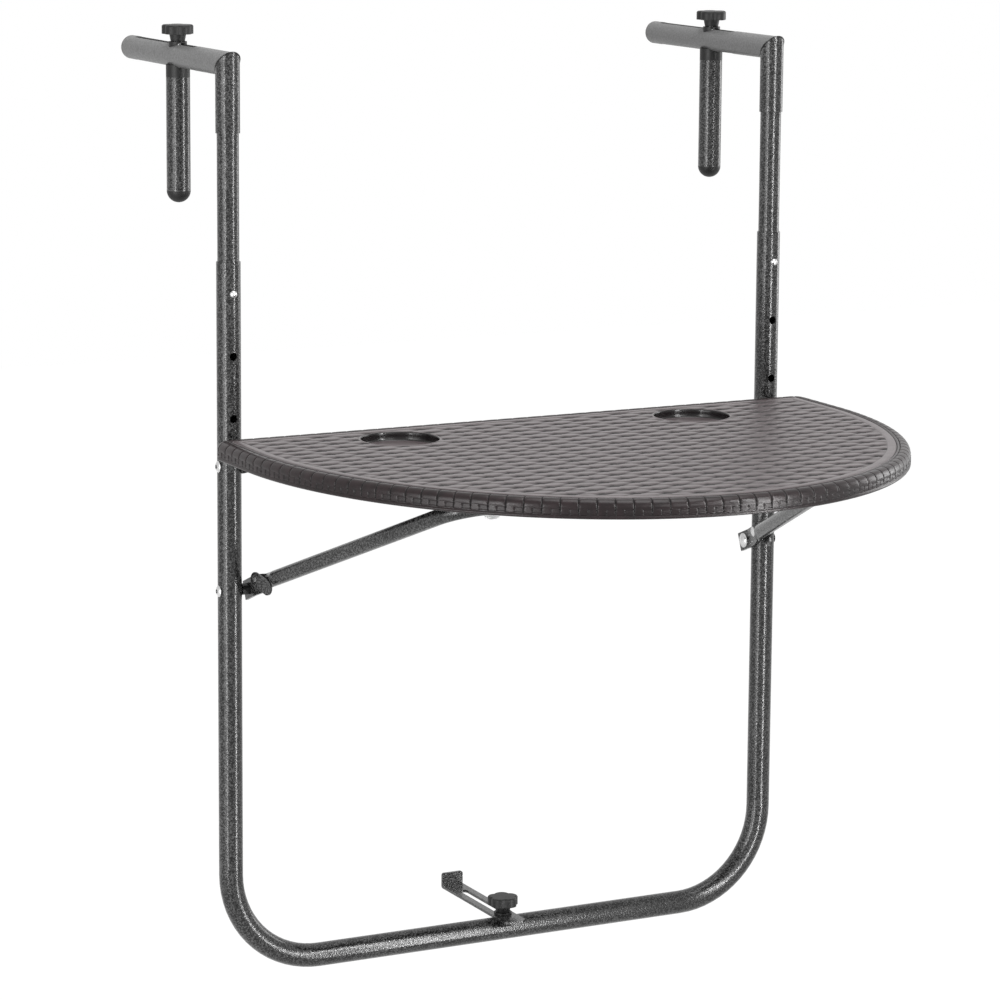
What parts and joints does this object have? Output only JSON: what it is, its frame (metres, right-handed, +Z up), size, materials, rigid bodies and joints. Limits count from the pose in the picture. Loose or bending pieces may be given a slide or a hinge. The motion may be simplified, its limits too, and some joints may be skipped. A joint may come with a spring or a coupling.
{
  "type": "balcony railing bar table",
  "caption": "Folding half-oval bar table that hooks over a balcony railing, with height steps, a folding brace, cup recesses and a bottom rail bracket.",
  "frame": {"origin": "the railing's inner top edge: on the arms' undersides, in the plane of the uprights' rear faces, midway between the two arms", "axes": "+X along the railing to the right as the user sees it from the balcony, +Y outwards over the railing, +Z up"},
  "size_m": [0.698, 0.772, 0.987],
  "materials": {
    "hammered_paint": "dark grey hammered powder coat with fine light speckle",
    "moulded_rattan": "dark brown moulded plastic with a rattan weave, satin",
    "black_plastic": "moulded black plastic, satin",
    "bright_zinc": "bright zinc plate",
    "spring_steel": "plain spring steel",
    "grey_bracket": "grey plated sheet steel"
  },
  "bodies": {
    "frame": {"u_frame": "hammered_paint", "table_pivot_left": "bright_zinc", "table_pivot_right": "bright_zinc", "brace_pivot_left": "bright_zinc", "brace_pivot_right": "bright_zinc", "pivot_spacers": "black_plastic", "rail_insert": "bright_zinc"},
    "hook_left": {"post_left": "hammered_paint", "hook_arm_left": "hammered_paint", "arm_plug_left": "black_plastic", "button_spring_left": "spring_steel"},
    "button_left": {"snap_button_left": "bright_zinc"},
    "drop_left": {"drop_leg_left": "hammered_paint", "drop_saddle_left": "black_plastic", "drop_nut_left": "bright_zinc", "drop_cap_left": "black_plastic", "clamp_washer_left": "black_plastic"},
    "clamp_screw_left": {"clamp_knob_left": "black_plastic", "clamp_bolt_left": "bright_zinc"},
    "hook_right": {"post_right": "hammered_paint", "hook_arm_right": "hammered_paint", "arm_plug_right": "black_plastic", "button_spring_right": "spring_steel"},
    "button_right": {"snap_button_right": "bright_zinc"},
    "drop_right": {"drop_leg_right": "hammered_paint", "drop_saddle_right": "black_plastic", "drop_nut_right": "bright_zinc", "drop_cap_right": "black_plastic", "clamp_washer_right": "black_plastic"},
    "clamp_screw_right": {"clamp_knob_right": "black_plastic", "clamp_bolt_right": "bright_zinc"},
    "table": {"table_top": "moulded_rattan", "table_screws": "bright_zinc", "hinge_bracket_left": "grey_bracket", "hinge_bracket_right": "grey_bracket", "brace_catch_left": "grey_bracket", "brace_catch_right": "grey_bracket"},
    "brace": {"support_brace": "hammered_paint", "brace_tab_left": "grey_bracket", "brace_tab_right": "grey_bracket", "brace_tab_rivets": "bright_zinc"},
    "rail_swivel": {"rail_knob_washer": "black_plastic"},
    "rail_bracket": {"rail_bar": "hammered_paint"},
    "rail_clamp_screw": {"rail_knob": "black_plastic", "rail_bolt": "bright_zinc"}
  },
  "joints": [
    {"name": "height_left", "type": "slide", "parent": "frame", "child": "hook_left", "axis": [0, 0, 1], "range_m": [-0.128, 0], "deforming": ["snap_button_left"]},
    {"name": "button_press_left", "type": "slide", "parent": "hook_left", "child": "button_left", "axis": [0, 1, 0], "range_m": [0, 0.005], "stiffness_N_per_m": 600, "springref_m": -0.002, "deforming": ["button_spring_left"]},
    {"name": "drop_slide_left", "type": "slide", "parent": "hook_left", "child": "drop_left", "axis": [0, 1, 0], "range_m": [-0.05, 0.1]},
    {"name": "clamp_turn_left", "type": "hinge", "parent": "drop_left", "child": "clamp_screw_left", "pos_m": [-0.319, 0.1175, 0.03], "axis": [0, 0, 1], "range_deg": [0, 720]},
    {"name": "height_right", "type": "slide", "parent": "frame", "child": "hook_right", "axis": [0, 0, 1], "range_m": [-0.128, 0], "deforming": ["snap_button_right"]},
    {"name": "button_press_right", "type": "slide", "parent": "hook_right", "child": "button_right", "axis": [0, 1, 0], "range_m": [0, 0.005], "stiffness_N_per_m": 600, "springref_m": -0.002, "deforming": ["button_spring_right"]},
    {"name": "drop_slide_right", "type": "slide", "parent": "hook_right", "child": "drop_right", "axis": [0, 1, 0], "range_m": [-0.05, 0.1]},
    {"name": "clamp_turn_right", "type": "hinge", "parent": "drop_right", "child": "clamp_screw_right", "pos_m": [0.319, 0.1175, 0.03], "axis": [0, 0, 1], "range_deg": [0, 720]},
    {"name": "table_fold", "type": "hinge", "parent": "frame", "child": "table", "pos_m": [0, -0.0125, -0.398], "axis": [1, 0, 0], "range_deg": [0, 86.5]},
    {"name": "brace_fold", "type": "hinge", "parent": "frame", "child": "brace", "pos_m": [0, -0.0125, -0.528], "axis": [1, 0, 0], "range_deg": [0, 107.65]},
    {"name": "rail_bracket_swivel", "type": "hinge", "parent": "frame", "child": "rail_swivel", "pos_m": [0, -0.0125, -0.9177], "axis": [0, 0, 1], "range_deg": [-90, 90]},
    {"name": "rail_bracket_slide", "type": "slide", "parent": "rail_swivel", "child": "rail_bracket", "axis": [0, 1, 0], "range_m": [-0.085, 0]},
    {"name": "rail_clamp_turn", "type": "hinge", "parent": "frame", "child": "rail_clamp_screw", "pos_m": [0, -0.0125, -0.9077], "axis": [0, 0, 1], "range_deg": [0, 720]}
  ],
  "couplings": [
    {"joint": "brace_fold", "follows": "table_fold", "ratio": 1.2439}
  ]
}
